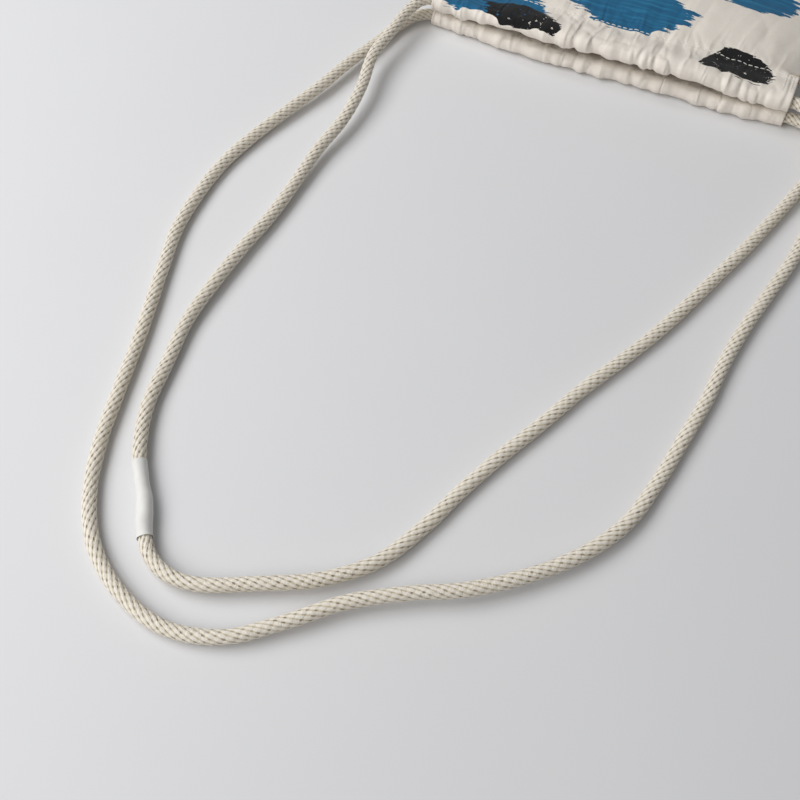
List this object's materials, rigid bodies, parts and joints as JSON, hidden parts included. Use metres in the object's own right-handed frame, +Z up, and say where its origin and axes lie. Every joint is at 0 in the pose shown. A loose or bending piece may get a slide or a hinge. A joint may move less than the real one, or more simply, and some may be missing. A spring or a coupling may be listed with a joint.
{
  "type": "pochette",
  "caption": "Gathered cotton drawstring pouch lying flat, with long loops of round braided cord as its straps.",
  "frame": {"origin": "on the surface it lies on, under the middle of the pouch, measured without the cords", "axes": "+Z up, +Y from the gathered mouth to the bottom seam, +X along the mouth to the right when seen from above with the mouth towards the viewer"},
  "size_m": [0.3403, 0.7355, 0.0265],
  "materials": {
    "canvas": "matte woven cotton, printed in blue and black",
    "cord_cotton": "solid-braided natural cotton",
    "sleeve_plastic": "satin white heat-shrunk sleeve",
    "thread_white": "white sewing thread"
  },
  "bodies": {
    "root": {"front_panel": "canvas", "back_panel": "canvas", "front_cord": "cord_cotton", "back_cord": "cord_cotton", "join_sleeve": "sleeve_plastic", "front_casing_stitching": "thread_white", "back_casing_stitching": "thread_white", "front_left_hem_stitching": "thread_white", "front_right_hem_stitching": "thread_white", "back_left_hem_stitching": "thread_white", "back_right_hem_stitching": "thread_white"}
  },
  "joints": []
}
